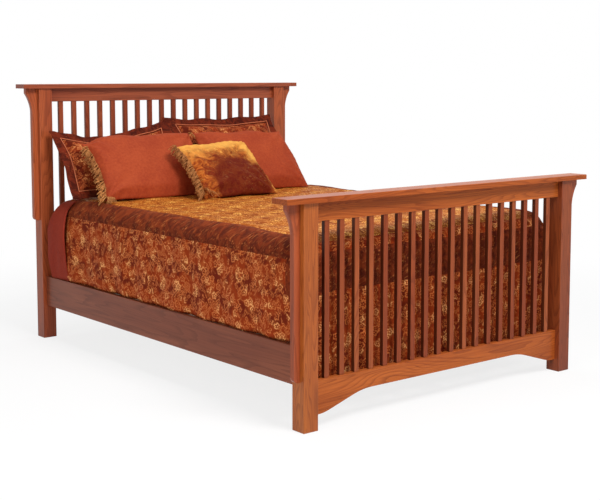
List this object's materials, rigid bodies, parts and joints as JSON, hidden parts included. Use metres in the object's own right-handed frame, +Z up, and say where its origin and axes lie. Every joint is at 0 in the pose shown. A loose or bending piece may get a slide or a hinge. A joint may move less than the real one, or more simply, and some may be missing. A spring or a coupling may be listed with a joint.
{
  "type": "mission bed",
  "caption": "Mission style bed with slatted head and foot panels, flared corbels, arched foot rail, hooked side rails and made-up rust and gold bedding.",
  "frame": {"origin": "on the floor, under the middle of the bed's box", "axes": "+X to the right seen from the foot, +Y from the foot to the headboard, +Z up"},
  "size_m": [1.802, 2.276, 1.342],
  "materials": {
    "stained_oak": "warm red-brown oak stain under satin lacquer",
    "plain_wood": "unfinished planed poplar",
    "zinc_steel": "zinc plated",
    "ticking": "woven ticking",
    "floral_brocade": "rust and gold scroll brocade with velvet bands",
    "rust_cotton": "plain rust sateen",
    "gold_velvet": "crushed gold velvet"
  },
  "bodies": {
    "bed_frame": {"head_post_left": "stained_oak", "foot_post_left": "stained_oak", "head_corbel_left": "stained_oak", "foot_corbel_left": "stained_oak", "side_rail_left": "stained_oak", "cleat_left": "plain_wood", "head_post_right": "stained_oak", "foot_post_right": "stained_oak", "head_corbel_right": "stained_oak", "foot_corbel_right": "stained_oak", "side_rail_right": "stained_oak", "cleat_right": "plain_wood", "head_cap": "stained_oak", "foot_cap": "stained_oak", "head_top_rail": "stained_oak", "head_bottom_rail": "stained_oak", "foot_top_rail": "stained_oak", "foot_bottom_rail": "stained_oak", "head_slats": "stained_oak", "foot_slat_01": "stained_oak", "foot_slat_02": "stained_oak", "foot_slat_03": "stained_oak", "foot_slat_04": "stained_oak", "foot_slat_05": "stained_oak", "foot_slat_06": "stained_oak", "foot_slat_07": "stained_oak", "foot_slat_08": "stained_oak", "foot_slat_09": "stained_oak", "foot_slat_10": "stained_oak", "foot_slat_11": "stained_oak", "foot_slat_12": "stained_oak", "foot_slat_13": "stained_oak", "foot_slat_14": "stained_oak", "foot_slat_15": "stained_oak", "foot_slat_16": "stained_oak", "foot_slat_17": "stained_oak", "foot_slat_18": "stained_oak", "rail_hook_plates": "zinc_steel", "post_slot_plates": "zinc_steel", "plate_screws": "zinc_steel", "cleat_screws": "zinc_steel", "corbel_dowels": "plain_wood", "cap_dowels": "plain_wood", "bed_slats": "plain_wood", "center_beam": "plain_wood", "center_legs": "plain_wood", "box_spring": "ticking", "mattress": "ticking", "comforter": "floral_brocade", "sheet": "rust_cotton", "sham_left": "floral_brocade", "sham_right": "floral_brocade", "rust_pillow_left": "rust_cotton", "rust_pillow_right": "rust_cotton", "gold_pillow": "gold_velvet"},
    "leveller_1_body": {"leveller_1": "zinc_steel"},
    "leveller_2_body": {"leveller_2": "zinc_steel"},
    "leveller_3_body": {"leveller_3": "zinc_steel"}
  },
  "joints": [
    {"name": "leveller_1_screw", "type": "slide", "parent": "bed_frame", "child": "leveller_1_body", "axis": [0, 0, 1], "range_m": [0, 0.012]},
    {"name": "leveller_2_screw", "type": "slide", "parent": "bed_frame", "child": "leveller_2_body", "axis": [0, 0, 1], "range_m": [0, 0.012]},
    {"name": "leveller_3_screw", "type": "slide", "parent": "bed_frame", "child": "leveller_3_body", "axis": [0, 0, 1], "range_m": [0, 0.012]}
  ]
}
